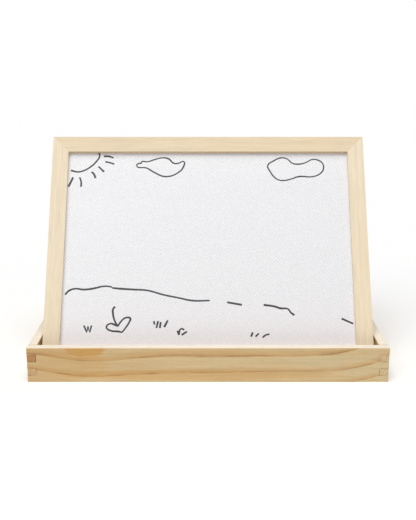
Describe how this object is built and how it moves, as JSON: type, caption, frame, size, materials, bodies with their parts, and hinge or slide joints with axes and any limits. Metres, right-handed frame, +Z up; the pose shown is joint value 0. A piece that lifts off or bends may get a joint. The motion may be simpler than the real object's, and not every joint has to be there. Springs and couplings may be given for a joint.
{
  "type": "kids easel",
  "caption": "Tabletop children's easel: a framed whiteboard tips up on side pins out of a shallow finger-jointed wooden tray and leans on a folding prop.",
  "frame": {"origin": "middle of the tray's underside, on the table", "axes": "+X to the user's right, +Y away from the user, +Z up"},
  "size_m": [0.4, 0.31, 0.2542],
  "materials": {
    "tray_pine": "satin lacquered pine, amber grain",
    "frame_pine": "satin lacquered pale pine",
    "prop_pine": "sanded pine",
    "plywood": "sanded birch plywood",
    "dowel_birch": "sanded birch",
    "writing_surface": "white dry-erase laminate, soft gloss",
    "hardboard": "brown hardboard",
    "steel": "zinc-plated steel",
    "nylon": "natural nylon",
    "rubber": "black rubber"
  },
  "bodies": {
    "tray": {"tray_front_wall": "tray_pine", "tray_back_wall": "tray_pine", "tray_left_wall": "tray_pine", "tray_right_wall": "tray_pine", "tray_floor": "plywood", "floor_nails": "steel", "left_ledge": "tray_pine", "right_ledge": "tray_pine", "ledge_screws": "steel", "hinge_pins": "steel", "spacer_washers": "nylon"},
    "board": {"board_top_rail": "frame_pine", "board_bottom_rail": "frame_pine", "board_left_stile": "frame_pine", "board_right_stile": "frame_pine", "corner_staples": "steel", "whiteboard_sheet": "writing_surface", "backing_board": "hardboard", "backing_brads": "steel", "left_hinge_block": "prop_pine", "right_hinge_block": "prop_pine", "left_prop_block": "prop_pine", "right_prop_block": "prop_pine", "block_screws": "steel", "prop_pins": "steel"},
    "prop": {"prop_left_arm": "prop_pine", "prop_right_arm": "prop_pine", "prop_cross_rail": "prop_pine", "cross_rail_screws": "steel", "foot_dowel": "dowel_birch", "foot_sleeves": "rubber"}
  },
  "joints": [
    {"name": "board_tilt", "type": "hinge", "parent": "tray", "child": "board", "pos_m": [0, -0.11733, 0.021], "axis": [1, 0, 0], "range_deg": [-60, 15]},
    {"name": "prop_fold", "type": "hinge", "parent": "board", "child": "prop", "pos_m": [0, -0.05425, 0.13026], "axis": [1, 0, 0], "range_deg": [-30, 120]}
  ],
  "couplings": [
    {"joint": "prop_fold", "follows": "board_tilt", "ratio": -2}
  ]
}
